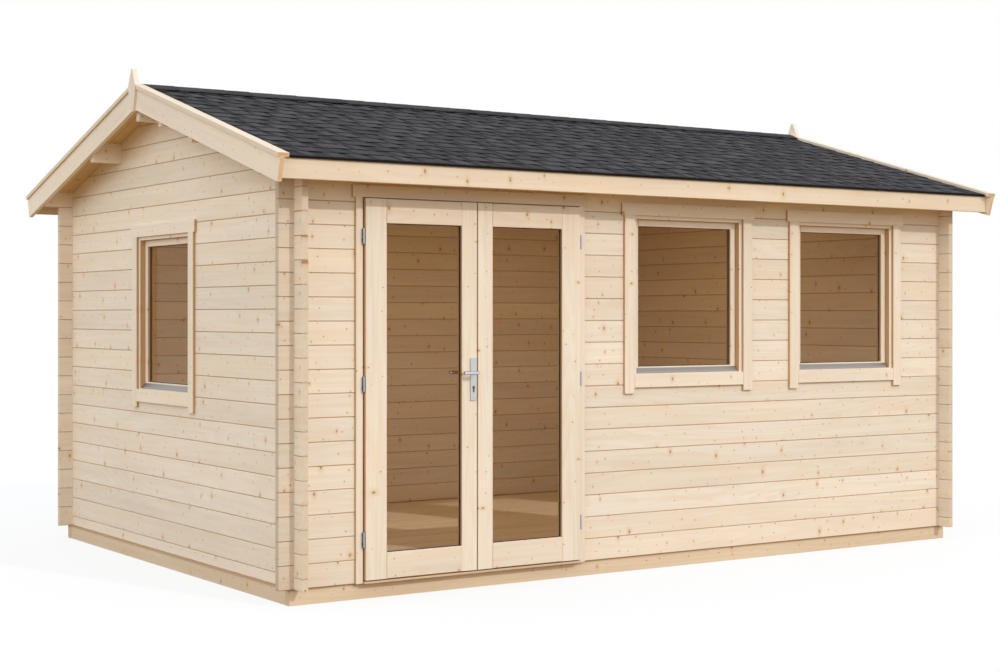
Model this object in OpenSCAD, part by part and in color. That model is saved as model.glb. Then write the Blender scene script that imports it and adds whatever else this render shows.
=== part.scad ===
// Log cabin with a low pitched roof, glazed double doors and three windows.
// Millimetres. X runs along the front wall, the front faces -Y, Z is up,
// and the origin is on the ground under the middle of the walls.

/* [Walls] */
// Front wall from the outer face of the left gable wall to the door opening
left_bay = 345; // [250:5:600]
// Front wall between the door opening and the first window opening
door_bay = 327; // [200:1:600]
// Front wall between the two window openings
window_bay = 378; // [200:1:600]
// Front wall from the second window opening to the outer face of the right gable wall
right_bay = 428; // [250:1:900]
// Depth of the cabin over the outer faces of the front and back walls
wall_d = 3110; // [2700:10:3800]
// Thickness of a wall log
log_t = 34; // [28:1:45]
// Height of one course of logs
log_h = 118; // [112:1:126]
// Run of a log past the outer face of the wall that it crosses
log_overhang = 83; // [50:1:130]
// Bevel along the edges of a log
log_bevel = 3.5; // [1:0.5:6]
// Width of the tongue on top of a log
tongue_w = 12; // [8:0.5:16]
// Height of that tongue
tongue_h = 7; // [4:0.5:10]

/* [Base and floor] */
// Height of the rails that the walls stand on
rail_h = 80; // [60:1:120]
// Thickness of a base rail
rail_t = 45; // [40:1:70]
// Distance of a base rail behind the outer face of its wall
rail_setback = 12; // [0:1:20]
// Run of the front and back rails past the gable walls
rail_run_on = 20; // [0:1:50]
// Distance of the gable rails' outer faces behind the ends of the front and back rails
rail_end_show = 3; // [1:1:8]
// Distance of the floor below the top of the base rails
floor_step = 2; // [0:1:10]
// Thickness of the floor
floor_t = 18; // [15:1:28]
// Width of a floor joist
joist_w = 45; // [35:1:70]
// Number of floor joists
joist_count = 8; // [4:1:12]

/* [Roof] */
// Slope of the roof in degrees
roof_pitch = 16.2; // [12:0.1:20]
// Height of the eaves log at the outer wall face
eaves_log_h = 82; // [60:1:110]
// Distance from the wall face to the back of the fascia
eaves_reach = 180; // [140:1:300]
// Distance from the gable wall to the outer face of its barge boards
gable_overhang = 196; // [150:1:320]
// Thickness of the roof boards
roof_board_t = 28; // [16:1:34]
// Thickness of the layer between the roof boards and the shingles
underlay_t = 16; // [6:1:24]
// Thickness of the shingles at the butt edge of a course
shingle_t = 12; // [8:1:18]
// Thickness of the shingles where a course starts
shingle_thin = 6; // [3:0.5:7]
// Number of shingle courses on one slope
shingle_courses = 15; // [8:1:18]
// Run of the shingles past the fascia
shingle_drip = 15; // [5:1:40]
// Thickness of the lowest course and its starter strip, over the fascia
drip_t = 19; // [16:1:26]
// Length of one side of the folded ridge strip
ridge_cap_side = 130; // [80:1:180]
// Thickness of the ridge strip
ridge_cap_t = 16; // [6:1:24]
// Width of a purlin
purlin_w = 45; // [35:1:70]
// Height of a purlin on its upper side
purlin_h = 114; // [85:1:135]
// Height of the ridge purlin
ridge_purlin_h = 140; // [125:1:170]
// Distance from the ridge to the middle of a side purlin
side_purlin_y = 712; // [600:1:800]
// Distance from the ridge to the middle of the upper front purlin
upper_purlin_y = 312; // [220:1:400]

/* [Roof edge] */
// Thickness of a fascia
fascia_t = 20; // [15:1:30]
// Height of a fascia on its outer face
fascia_h = 98; // [70:1:130]
// Thickness of a barge board
barge_t = 23; // [16:1:34]
// Height of a barge board across its length
barge_h = 116; // [80:1:150]
// Run of a barge board past the fascia, along the slope
barge_run_on = 45; // [20:1:80]
// Width of the strip on top of a barge board
cap_w = 60; // [45:1:80]
// Thickness of that strip
cap_t = 21; // [12:1:30]
// Overhang of that strip in front of the barge board
cap_lip = 11; // [2:1:12]
// Thickness of a finial
finial_t = 28; // [18:1:30]
// Depth to which a finial stands out from the barge boards
finial_proud = 14; // [8:1:16]
// Height of a finial
finial_h = 238; // [200:1:280]
// Width of a finial at its shoulders
finial_w = 104; // [60:1:120]
// Width of a finial at its tip
finial_tip_w = 10; // [8:1:40]
// Width of a finial at its foot
finial_foot_w = 40; // [30:1:60]
// Height of the shoulders above the foot
finial_shoulder = 145; // [120:1:170]
// Height of the finial's tip above the top of the barge boards
finial_rise = 102; // [80:1:130]

/* [Double doors] */
// Width of one door leaf
leaf_w = 654; // [560:1:760]
// Height of a leaf
leaf_h = 1890; // [1750:5:2050]
// Gap between the two leaves
leaf_gap = 6; // [6:0.5:12]
// Thickness of a leaf
leaf_t = 42; // [38:1:48]
// Distance of the leaf's face in front of the wall face
leaf_proud = 34; // [30:1:40]
// Height of the threshold
threshold_h = 10; // [6:1:14]
// Clear space around a leaf
leaf_clear = 6; // [5:0.5:8]
// Width of a jamb at the side of the doors
jamb_w = 26.6; // [20:0.1:40]
// Height of the head over the doors
head_h = 32.6; // [24:0.1:45]
// Width of the stile on the hinge side
hinge_stile_w = 120; // [90:1:140]
// Width of the stile where the leaves meet
meeting_stile_w = 92; // [80:1:120]
// Height of the top rail
top_rail_h = 121; // [90:1:150]
// Height of the bottom rail
bottom_rail_h = 130; // [100:1:220]
// Width of the stop behind the leaves
stop_w = 25; // [18:1:35]
// Depth of the stop
stop_d = 30; // [20:1:40]
// Thickness of the boards around doors and windows
casing_t = 16; // [12:1:22]
// Overlap of the door boards on the logs
door_casing_lap = 12; // [8:1:25]
// Height of the board over the doors
lintel_h = 60; // [50:1:70]
// Run of that board past the upright boards
lintel_run_on = 18; // [0:1:40]

/* [Door hardware] */
// Height of one hinge
hinge_h = 76; // [50:1:100]
// Radius of the hinge barrel
knuckle_r = 7; // [6:0.5:8]
// Radius of the hinge pin
pin_r = 4; // [3:0.5:4.5]
// Distance of the pin's end below the top of the barrel
pin_short = 8; // [4:1:14]
// Gap between the hinge barrel and the edge of the leaf
knuckle_gap = 0.5; // [0.3:0.1:1]
// Distance of the hinge barrel in front of the upright board
knuckle_proud = 2; // [1:0.5:5]
// Height of the lowest hinge above the foot of the leaf
hinge_low = 200; // [150:5:300]
// Height of the middle hinge above the foot of the leaf
hinge_mid = 970; // [800:5:1100]
// Distance of the top hinge below the top of the leaf
hinge_high = 187; // [120:1:300]
// Width of a handle plate
plate_w = 35; // [28:1:44]
// Height of a handle plate
plate_h = 218; // [180:1:260]
// Thickness of a handle plate
plate_t = 8; // [5:1:10]
// Radius of a handle plate's corners
plate_corner = 4; // [2:1:10]
// Distance of the handle's axis from the meeting edge
plate_in = 26; // [24:1:40]
// Height of the lever's axis above the foot of the leaf
lever_z = 1016; // [900:1:1100]
// Height of the plate's top above the lever's axis
plate_above = 76; // [50:1:100]
// Radius of the lever
lever_r = 9; // [7:0.5:11]
// Length of the lever
lever_l = 86; // [75:1:130]
// Distance from the plate to the middle of the lever
lever_out = 41; // [30:1:60]
// Radius of the spindle through the door
spindle_r = 5; // [4:0.5:6]
// Space around the spindle in the stile
spindle_room = 3; // [1:0.5:5]
// Distance of the keyhole under the lever's axis
key_drop = 76; // [60:1:95]
// Radius of the keyhole's round end
key_r = 8.5; // [6:0.5:9]

/* [Windows] */
// Width of the opening for a front window
front_win_w = 846; // [700:2:1000]
// Height of the opening for a window
win_h = 944; // [700:2:1100]
// Width of the opening for the window in the left gable wall
gable_win_w = 786; // [600:2:1000]
// Middle of that window, towards the back
gable_win_y = 50; // [-200:5:200]
// Distance of that window's opening below the front windows' opening
gable_win_drop = 100; // [60:1:140]
// Depth of a window frame
win_frame_d = 75; // [68:1:90]
// Width of a window frame's upright
win_frame_side = 48; // [42:1:60]
// Height of a window frame's head
win_frame_head = 30; // [26:1:50]
// Height of a window frame's sill
win_frame_sill = 60; // [45:1:70]
// Width of a sash bar
sash_w = 37; // [30:1:50]
// Thickness of a sash
sash_t = 40; // [34:1:44]
// Distance of the sash behind the wall face
sash_back = 30; // [24:1:34]
// Height of the drip rail
drip_h = 30; // [18:1:34]
// Depth of the drip rail
drip_d = 18; // [12:1:22]
// Depth of the drip rail along its top
drip_lip = 3; // [2:0.5:6]
// Width of the upright boards around a window
win_casing_w = 68; // [55:1:80]
// Overlap of those boards on the logs
win_casing_lap = 42; // [30:1:50]
// Height of the board over a window
win_head_h = 67; // [50:1:80]
// Distance of that board below the top of the opening
win_head_drop = 11; // [0:1:20]
// Run of that board past the upright boards
win_head_run_on = 18; // [0:1:40]
// Height of the board under a window
win_apron_h = 72; // [50:1:90]
// Height of that board above the foot of the opening
win_apron_up = 57; // [40:1:60]
// Run of the upright boards below the foot of the opening
win_casing_foot = 47; // [30:1:70]

/* [Glass and fits] */
// Thickness of the glass
glass_t = 6; // [4:1:10]
// Depth of the groove that holds the glass
groove_d = 10; // [7:1:14]
// Bevel on doors, sashes and boards
edge = 2.5; // [1:0.5:4]
// Gap at a fixed joint between two pieces
fit = 0.4; // [0.2:0.1:0.8]
// Clearance around a pin or spindle
running = 0.3; // [0.2:0.1:0.5]

/* [Hidden] */
$fn = 48;

spruce = "#e6d3b0";
spruce_shade = "#d9c4a0";
charcoal = "#4a4d50";
silver = "#c4c6c8";
pane = [0.72, 0.80, 0.82, 0.35];

// doors, up to the top of their opening
leaf_foot = rail_h + threshold_h + leaf_clear;
leaf_top = leaf_foot + leaf_h;
head_low = leaf_top + leaf_clear;
door_half = leaf_w + leaf_gap / 2;
frame_half = door_half + leaf_clear;
door_open_w = 2 * (frame_half + jamb_w + fit);
door_open_top = head_low + head_h + fit;

// front wall from left to right, and the courses that reach over the doors
wall_w = left_bay + door_open_w + door_bay + front_win_w + window_bay + front_win_w + right_bay;
hw = wall_w / 2;
hd = wall_d / 2;
door_x = -hw + left_bay + door_open_w / 2;
win_1_x = door_x + door_open_w / 2 + door_bay + front_win_w / 2;
win_2_x = win_1_x + front_win_w + window_bay;
courses = ceil((door_open_top - rail_h) / log_h);

// levels and half sizes that the pieces share
past = 5;
slope = tan(roof_pitch);
plate_z = rail_h + courses * log_h;
eaves_z = plate_z + eaves_log_h;
apex_z = eaves_z + hd * slope;
board_rise = roof_board_t / cos(roof_pitch);
underlay_rise = board_rise + underlay_t / cos(roof_pitch);
cover_rise = underlay_rise + shingle_t / cos(roof_pitch);
drip_rise = cover_rise - drip_t / cos(roof_pitch);
roof_x = hw + gable_overhang - barge_t;
barge_x = roof_x + barge_t;
cap_in_x = barge_x + cap_lip - cap_w;
fascia_y = hd + eaves_reach;
floor_top = rail_h - floor_step;
joist_h = floor_top - floor_t;
rail_in_x = hw - rail_setback - rail_t;
rail_in_y = hd - rail_setback - rail_t;
gable_start = rail_h + log_h / 2;
gable_rows = floor((apex_z - gable_start) / log_h + 0.3);

// door leaves, hinges and handle
leaf_face = -hd - leaf_proud;
leaf_back = leaf_face + leaf_t;
stop_y = leaf_back + leaf_clear;
frame_back = stop_y + stop_d;
hinge_off = knuckle_r + knuckle_gap;
hinge_x = door_half + hinge_off;
hinge_y = -hd - casing_t - knuckle_r - knuckle_proud;
hinge_heights = [hinge_low, hinge_mid, leaf_h - hinge_high];
handle_x = -leaf_gap / 2 - plate_in;
handle_z = leaf_foot + lever_z;

// windows, whose heads are one course below the eaves logs
win_z = plate_z - log_h - win_h;
gable_win_z = win_z - gable_win_drop;

// height of the underside of the roof boards at a distance from the ridge
function roof_z(y) = apex_z - abs(y) * slope;

// Cross-section of a log: bevelled edges, a tongue on top and a groove below
module log_section(height) {
  b = log_bevel;
  t = log_t / 2;
  top = height - fit;
  g = tongue_w / 2 + fit;
  w = tongue_w / 2;
  polygon([
    [-t, b], [-t + b, 0], [-g, 0], [-g, tongue_h + fit], [g, tongue_h + fit], [g, 0], [t - b, 0], [t, b],
    [t, top - b], [t - b, top], [w, top], [w, top + tongue_h], [-w, top + tongue_h], [-w, top],
    [-t + b, top], [-t, top - b]
  ]);
}

// A straight log along X from x0 to x1 with its middle plane at y = 0
module log_x(x0, x1, height) {
  translate([x0, 0, 0])
    rotate([90, 0, 90])
      linear_extrude(x1 - x0)
        log_section(height);
}

// Cuts over and under the neck where a log crosses another wall at x
module neck_cuts(x, low, high, height) {
  for (part = [[-past, low + fit / 2], [high - fit / 2, height + tongue_h + past]])
    translate([x - log_t / 2 - fit, -log_t, part[0]])
      cube([log_t + 2 * fit, 2 * log_t, part[1] - part[0]]);
}

// One course of the front or back wall from x0 to x1, notched at the gable walls
module long_log(x0, x1) {
  difference() {
    log_x(x0, x1, log_h);
    for (x = [-hw + log_t / 2, hw - log_t / 2])
      neck_cuts(x, log_h / 4, 3 * log_h / 4, log_h);
  }
}

// One course of a gable wall, along X here, before it is turned and cut
module gable_log(height, low, high) {
  difference() {
    log_x(-hd - log_overhang, hd + log_overhang, height);
    for (y = [-hd + log_t / 2, hd - log_t / 2])
      neck_cuts(y, low, high, height);
  }
}

// Space taken by a front window in the wall, or by the gable window before it is turned
module window_cut(middle, foot, width) {
  translate([middle - width / 2, -hd - log_t, foot])
    cube([width, 3 * log_t, win_h]);
}

module front_windows_cut() {
  for (x = [win_1_x, win_2_x])
    window_cut(x, win_z, front_win_w);
}

// Outline under the roof boards, along X from -x to x
module under_roof(x) {
  reach = 2 * hd;
  translate([-x, 0, 0])
    rotate([90, 0, 90])
      linear_extrude(2 * x)
        polygon([[-reach, -past], [reach, -past], [reach, roof_z(reach) - fit],
          [0, apex_z - fit], [-reach, roof_z(reach) - fit]]);
}

// A beam along X under the roof boards, with its top cut to the slope
module roof_beam(middle, width, low, grow, half_length) {
  y0 = middle - width / 2 - grow;
  y1 = middle + width / 2 + grow;
  crown = (y0 < 0 && y1 > 0) ? [[0, roof_z(0) - fit + grow]] : [];
  translate([-half_length, 0, 0])
    rotate([90, 0, 90])
      linear_extrude(2 * half_length)
        polygon(concat([[y0, low - grow], [y1, low - grow], [y1, roof_z(y1) - fit + grow]], crown,
          [[y0, roof_z(y0) - fit + grow]]));
}

// Bottom of a purlin whose upper side has the full height
function purlin_low(middle) = roof_z(abs(middle) - purlin_w / 2) - purlin_h;

module ridge_beam(grow, half_length) {
  roof_beam(0, purlin_w, apex_z - ridge_purlin_h, grow, half_length);
}

module side_beams(grow, half_length) {
  for (y = [-side_purlin_y, side_purlin_y])
    roof_beam(y, purlin_w, purlin_low(y), grow, half_length);
}

module upper_beam(grow, half_length) {
  roof_beam(-upper_purlin_y, purlin_w, purlin_low(upper_purlin_y), grow, half_length);
}

// Front and back rails on the ground
module long_base_rails() {
  color(spruce_shade)
    for (side = [-1, 1])
      translate([-hw - rail_run_on, side * (hd - rail_setback - rail_t / 2) - rail_t / 2, 0])
        cube([2 * (hw + rail_run_on), rail_t, rail_h]);
}

// Gable rails between the long ones, from the floor's edge to near the ends of the long rails
module short_base_rails() {
  w = hw + rail_run_on - rail_end_show - rail_in_x;
  color(spruce_shade)
    for (side = [-1, 1])
      translate([side * (rail_in_x + w / 2) - w / 2, -rail_in_y + fit, 0])
        cube([w, 2 * (rail_in_y - fit), rail_h]);
}

module floor_joists() {
  span = 2 * rail_in_x - joist_w - 2 * fit;
  color(spruce_shade)
    for (i = [0:joist_count - 1])
      translate([-span / 2 + i * span / (joist_count - 1) - joist_w / 2, -rail_in_y + fit, 0])
        cube([joist_w, 2 * (rail_in_y - fit), joist_h]);
}

module floor_deck() {
  color(spruce_shade)
    translate([-rail_in_x + fit, -rail_in_y + fit, joist_h])
      cube([2 * (rail_in_x - fit), 2 * (rail_in_y - fit), floor_t]);
}

// Courses of the front wall between x0 and x1, open at the windows
module front_courses(x0, x1) {
  color(spruce)
    difference() {
      translate([0, -hd + log_t / 2, 0])
        for (i = [0:courses - 1])
          translate([0, 0, rail_h + i * log_h])
            long_log(x0, x1);
      front_windows_cut();
    }
}

module front_wall_left_logs() {
  front_courses(-hw - log_overhang, door_x - door_open_w / 2);
}

module front_wall_right_logs() {
  front_courses(door_x + door_open_w / 2, hw + log_overhang);
}

// What is left of the top course over the doors
module front_wall_over_door_log() {
  low = plate_z - log_h;
  color(spruce)
    intersection() {
      translate([0, -hd + log_t / 2, low])
        log_x(door_x - door_open_w / 2 + fit, door_x + door_open_w / 2 - fit, log_h);
      translate([-hw, -hd - log_t, door_open_top])
        cube([2 * hw, 3 * log_t, log_h]);
    }
}

module back_wall_logs() {
  color(spruce)
    translate([0, hd - log_t / 2, 0])
      for (i = [0:courses - 1])
        translate([0, 0, rail_h + i * log_h])
          long_log(-hw - log_overhang, hw + log_overhang);
}

// Top logs of the front and back walls, which run out to the barge boards
module eaves_logs() {
  color(spruce)
    for (side = [-1, 1])
      intersection() {
        translate([0, side * (hd - log_t / 2), plate_z])
          log_x(-roof_x + fit, roof_x - fit, log_h);
        under_roof(roof_x);
      }
}

// Space that the roof beams and eaves logs take in a gable wall
module gable_notches() {
  ridge_beam(fit, roof_x);
  side_beams(fit, roof_x);
  upper_beam(fit, roof_x);
  for (side = [-1, 1])
    translate([-roof_x, side * (hd - log_t / 2) - log_t / 2 - fit, plate_z - fit])
      cube([2 * roof_x, log_t + 2 * fit, log_h]);
}

// Gable wall at one end: a half log, full courses and the courses under the slopes
module gable_wall(side, windowed) {
  color(spruce_shade)
    intersection() {
      difference() {
        translate([side * (hw - log_t / 2), 0, 0])
          rotate(90) {
            translate([0, 0, rail_h])
              gable_log(log_h / 2, -past, log_h / 4);
            for (i = [0:gable_rows])
              translate([0, 0, gable_start + i * log_h])
                gable_log(log_h, log_h / 4, 3 * log_h / 4);
          }
        gable_notches();
        // courses over the eaves logs stop at their inner faces
        for (end = [-1, 1])
          translate([-roof_x, end * 2 * hd - hd, plate_z + log_h / 2])
            translate([0, -end * log_t, 0])
              cube([2 * roof_x, 2 * hd, apex_z]);
        if (windowed)
          rotate(-90)
            translate([0, hd - hw, 0])
              window_cut(-gable_win_y, gable_win_z, gable_win_w);
      }
      under_roof(roof_x);
    }
}

module left_gable_logs() {
  gable_wall(-1, true);
}

module right_gable_logs() {
  gable_wall(1, false);
}

module ridge_purlin() {
  color(spruce)
    ridge_beam(0, roof_x - fit);
}

module side_purlins() {
  color(spruce)
    side_beams(0, roof_x - fit);
}

module front_upper_purlin() {
  color(spruce)
    upper_beam(0, roof_x - fit);
}

// Strip along one slope between two heights over the roof line, for the back slope
module slope_strip(y0, y1, rise0, rise1, half_length) {
  translate([-half_length, 0, 0])
    rotate([90, 0, 90])
      linear_extrude(2 * half_length)
        polygon([[y0, roof_z(y0) + rise0], [y1, roof_z(y1) + rise0],
          [y1, roof_z(y1) + rise1], [y0, roof_z(y0) + rise1]]);
}

module back_roof_boards() {
  color(spruce_shade)
    slope_strip(fit / 2, fascia_y - fit, 0, board_rise, roof_x - fit);
}

module front_roof_boards() {
  mirror([0, 1, 0])
    back_roof_boards();
}

// Underlay on the back slope, with shingle courses that are thick at their lower edges
module back_shingles() {
  end_y = fascia_y - fit;
  low_y = fascia_y + fascia_t + shingle_drip;
  pitch_y = (low_y - fit / 2) / shingle_courses;
  base = board_rise + fit;
  thin = underlay_rise + shingle_thin / cos(roof_pitch);
  teeth = [
    for (i = [0:shingle_courses - 1])
      let (y0 = fit / 2 + i * pitch_y, y1 = y0 + pitch_y)
        each [[y0, roof_z(y0) + thin], [y1, roof_z(y1) + cover_rise]]
  ];
  color(charcoal) {
    slope_strip(fit / 2, end_y, base, underlay_rise, roof_x - fit);
    translate([-cap_in_x + fit, 0, 0])
      rotate([90, 0, 90])
        linear_extrude(2 * (cap_in_x - fit))
          polygon(concat([[low_y, roof_z(low_y) + drip_rise], [end_y, roof_z(end_y) + drip_rise],
            [end_y, roof_z(end_y) + base], [fit / 2, roof_z(fit / 2) + base]], teeth));
  }
}

module front_shingles() {
  mirror([0, 1, 0])
    back_shingles();
}

// Folded strip over the ridge, between the strips on the barge boards
module ridge_cap() {
  side = ridge_cap_side * cos(roof_pitch);
  low = cover_rise + fit;
  high = low + ridge_cap_t / cos(roof_pitch);
  half_length = cap_in_x - fit;
  color(charcoal)
    translate([-half_length, 0, 0])
      rotate([90, 0, 90])
        linear_extrude(2 * half_length)
          polygon([[-side, roof_z(side) + low], [0, apex_z + low], [side, roof_z(side) + low],
            [side, roof_z(side) + high], [0, apex_z + high], [-side, roof_z(side) + high]]);
}

// Board along the back eaves, with its top cut to the slope
module back_fascia() {
  y0 = fascia_y;
  y1 = fascia_y + fascia_t;
  rise = drip_rise - fit;
  top = roof_z(y1) + rise;
  color(spruce)
    translate([-roof_x + fit, 0, 0])
      rotate([90, 0, 90])
        linear_extrude(2 * (roof_x - fit))
          polygon([[y0, top - fascia_h], [y1 - edge, top - fascia_h], [y1, top - fascia_h + edge],
            [y1, top], [y0, roof_z(y0) + rise]]);
}

module front_fascia() {
  mirror([0, 1, 0])
    back_fascia();
}

// Outline of a board along the back slope, square to the slope at its foot
module slope_outline(top, height) {
  low_y = fascia_y + fascia_t + barge_run_on;
  lean = height * sin(roof_pitch);
  drop = height / cos(roof_pitch);
  start = fit / 2;
  polygon([[start, roof_z(start) + top - drop], [low_y - lean, roof_z(low_y - lean) + top - drop],
    [low_y, roof_z(low_y) + top], [start, roof_z(start) + top]]);
}

// A pair of boards along both slopes at the right end, from x0 outwards
module slope_pair(x0, thickness, top, height) {
  for (flip = [0, 1])
    mirror([0, flip, 0])
      translate([x0, 0, 0])
        rotate([90, 0, 90])
          linear_extrude(thickness)
            slope_outline(top, height);
}

// Kite outline of a finial, grown by some play
module finial_outline(grow) {
  offset(delta = grow)
    polygon([[-finial_foot_w / 2, 0], [finial_foot_w / 2, 0], [finial_w / 2, finial_shoulder],
      [finial_tip_w / 2, finial_h], [-finial_tip_w / 2, finial_h], [-finial_w / 2, finial_shoulder]]);
}

// Finial at the right end, or the pocket for it where grow is above zero
module right_kite(grow) {
  translate([barge_x + finial_proud - finial_t - grow, 0, apex_z + underlay_rise + finial_rise - finial_h])
    rotate([90, 0, 90])
      linear_extrude(finial_t + grow)
        finial_outline(grow);
}

// Boards along both slopes, with a pocket for the finial where they meet
module right_barge_boards() {
  color(spruce)
    difference() {
      slope_pair(roof_x, barge_t, underlay_rise, barge_h);
      right_kite(fit);
    }
}

module left_barge_boards() {
  mirror([1, 0, 0])
    right_barge_boards();
}

// Strips on top of the barge boards, cut out behind the finial
module right_barge_caps() {
  color(spruce)
    difference() {
      slope_pair(cap_in_x, cap_w, underlay_rise + (cap_t + fit) / cos(roof_pitch), cap_t);
      translate([barge_x + finial_proud - finial_t - fit, -finial_w / 2 - fit, apex_z - finial_h])
        cube([cap_w, finial_w + 2 * fit, 3 * finial_h]);
    }
}

module left_barge_caps() {
  mirror([1, 0, 0])
    right_barge_caps();
}

// Kite-shaped board let into the meeting barge boards
module right_finial() {
  color(spruce)
    right_kite(0);
}

module left_finial() {
  mirror([1, 0, 0])
    right_finial();
}

// Upright sides of the door frame, flush with the wall face
module door_jambs() {
  outer = door_open_w / 2 - fit;
  color(spruce)
    for (side = [-1, 1])
      translate([door_x + (side < 0 ? -outer : frame_half), -hd, rail_h])
        cube([outer - frame_half, frame_back + hd, door_open_top - fit - rail_h]);
}

module door_head() {
  color(spruce)
    translate([door_x - frame_half + fit, -hd, head_low])
      cube([2 * (frame_half - fit), frame_back + hd, door_open_top - fit - head_low]);
}

// Strips behind the leaves that the doors close against
module door_stops() {
  inner = frame_half - stop_w;
  color(spruce) {
    for (side = [-1, 1])
      translate([door_x + (side < 0 ? -frame_half + fit : inner), stop_y, rail_h + threshold_h + fit])
        cube([stop_w - fit, stop_d, head_low - 2 * fit - rail_h - threshold_h]);
    translate([door_x - inner + fit, stop_y, head_low - stop_w])
      cube([2 * (inner - fit), stop_d, stop_w - fit]);
  }
}

// Sill under the leaves, level with their faces
module door_threshold() {
  depth = frame_back - leaf_face;
  color(spruce)
    translate([door_x - frame_half + fit, leaf_face, rail_h])
      cube([2 * (frame_half - fit), depth, threshold_h]);
}

// A flat board on the front wall face, with bevelled front edges
module wall_board(x0, x1, z0, z1) {
  translate([x0, 0, z0])
    linear_extrude(z1 - z0)
      polygon([[0, 0], [0, -casing_t + edge], [edge, -casing_t], [x1 - x0 - edge, -casing_t],
        [x1 - x0, -casing_t + edge], [x1 - x0, 0]]);
}

// Outer edge of the boards beside the doors, from the middle of the doors
door_board_half = door_open_w / 2 + door_casing_lap;

// Boards beside the doors
module door_side_boards() {
  color(spruce)
    translate([door_x, -hd, 0]) {
      wall_board(-door_board_half, -frame_half, rail_h, head_low - fit);
      wall_board(frame_half, door_board_half, rail_h, head_low - fit);
    }
}

// Board over the doors, which runs past the side boards
module door_lintel_board() {
  half = door_board_half + lintel_run_on;
  color(spruce)
    translate([door_x, -hd, 0])
      wall_board(-half, half, head_low, head_low + lintel_h);
}

// Section of a glazed bar: bevelled corners and a groove for the glass on the +X edge
module bar_section(width, thickness) {
  g = glass_t / 2 + fit;
  m = thickness / 2;
  polygon([[edge, 0], [width - edge, 0], [width, edge], [width, m - g], [width - groove_d, m - g],
    [width - groove_d, m + g], [width, m + g], [width, thickness - edge], [width - edge, thickness],
    [edge, thickness], [0, thickness - edge], [0, edge]]);
}

// Upright bar from the origin along Z, glass towards +X, outer face at y = 0
module upright(width, thickness, length) {
  linear_extrude(length)
    bar_section(width, thickness);
}

// Level bar along X from x = 0, glass towards +Z, outer face at y = 0
module level_bar(width, thickness, length) {
  translate([length, 0, 0])
    rotate([0, -90, 0])
      linear_extrude(length)
        bar_section(width, thickness);
}

// Stiles of the left leaf, with the bore for the lever's spindle
module left_door_stiles() {
  color(spruce)
    difference() {
      translate([door_x, leaf_face, leaf_foot]) {
        translate([-door_half, 0, 0])
          upright(hinge_stile_w, leaf_t, leaf_h);
        translate([-leaf_gap / 2, 0, 0])
          mirror([1, 0, 0])
            upright(meeting_stile_w, leaf_t, leaf_h);
      }
      translate([door_x + handle_x, leaf_face - past, handle_z])
        rotate([-90, 0, 0])
          cylinder(r = spindle_r + spindle_room, h = leaf_t + 2 * past);
    }
}

module right_door_stiles() {
  color(spruce)
    translate([door_x, leaf_face, leaf_foot]) {
      translate([leaf_gap / 2, 0, 0])
        upright(meeting_stile_w, leaf_t, leaf_h);
      translate([door_half, 0, 0])
        mirror([1, 0, 0])
          upright(hinge_stile_w, leaf_t, leaf_h);
    }
}

// Rails of one leaf from x0 to x1
module leaf_rails(x0, x1) {
  color(spruce)
    translate([door_x + x0 + fit, leaf_face, leaf_foot]) {
      level_bar(bottom_rail_h, leaf_t, x1 - x0 - 2 * fit);
      translate([0, 0, leaf_h])
        mirror([0, 0, 1])
          level_bar(top_rail_h, leaf_t, x1 - x0 - 2 * fit);
    }
}

module left_door_rails() {
  leaf_rails(-door_half + hinge_stile_w, -leaf_gap / 2 - meeting_stile_w);
}

module right_door_rails() {
  leaf_rails(leaf_gap / 2 + meeting_stile_w, door_half - hinge_stile_w);
}

// Pane that stands in the grooves around a clear opening
module glass_pane(x0, x1, z0, z1, middle) {
  reach = groove_d - fit;
  color(pane)
    translate([x0 - reach, middle - glass_t / 2, z0 - reach])
      cube([x1 - x0 + 2 * reach, glass_t, z1 - z0 + 2 * reach]);
}

module leaf_glass(x0, x1) {
  glass_pane(door_x + x0, door_x + x1, leaf_foot + bottom_rail_h, leaf_top - top_rail_h,
    leaf_face + leaf_t / 2);
}

module left_door_glass() {
  leaf_glass(-door_half + hinge_stile_w, -leaf_gap / 2 - meeting_stile_w);
}

module right_door_glass() {
  leaf_glass(leaf_gap / 2 + meeting_stile_w, door_half - hinge_stile_w);
}

// Lower half of a hinge with its pin, seated on the upright board beside the doors
module frame_knuckle() {
  half = hinge_h / 2;
  rise = half - pin_short;
  translate([0, 0, -half])
    cylinder(r = knuckle_r, h = half - fit);
  translate([0, 0, -past])
    cylinder(r = pin_r, h = rise + past);
  translate([-pin_r, 0, -half / 2])
    rotate([-90, 0, 0])
      cylinder(r = pin_r, h = -hd - casing_t - hinge_y);
}

// Upper half of a hinge, seated on the edge of the leaf
module leaf_knuckle() {
  half = hinge_h / 2;
  difference() {
    union() {
      cylinder(r = knuckle_r, h = half);
      translate([0, 0, half / 2])
        rotate([0, 90, 0])
          cylinder(r = pin_r, h = hinge_off);
    }
    translate([0, 0, -past])
      cylinder(r = pin_r + running, h = half - pin_short + running + past);
  }
}

// The three hinge places of one leaf, with side -1 at the left
module hinge_places(side) {
  for (z = hinge_heights)
    translate([door_x + side * hinge_x, hinge_y, leaf_foot + z])
      mirror([side > 0 ? 1 : 0, 0, 0])
        children();
}

module frame_knuckles() {
  color(silver)
    for (side = [-1, 1])
      hinge_places(side)
        frame_knuckle();
}

module left_door_knuckles() {
  color(silver)
    hinge_places(-1)
      leaf_knuckle();
}

module right_door_knuckles() {
  color(silver)
    hinge_places(1)
      leaf_knuckle();
}

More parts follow.
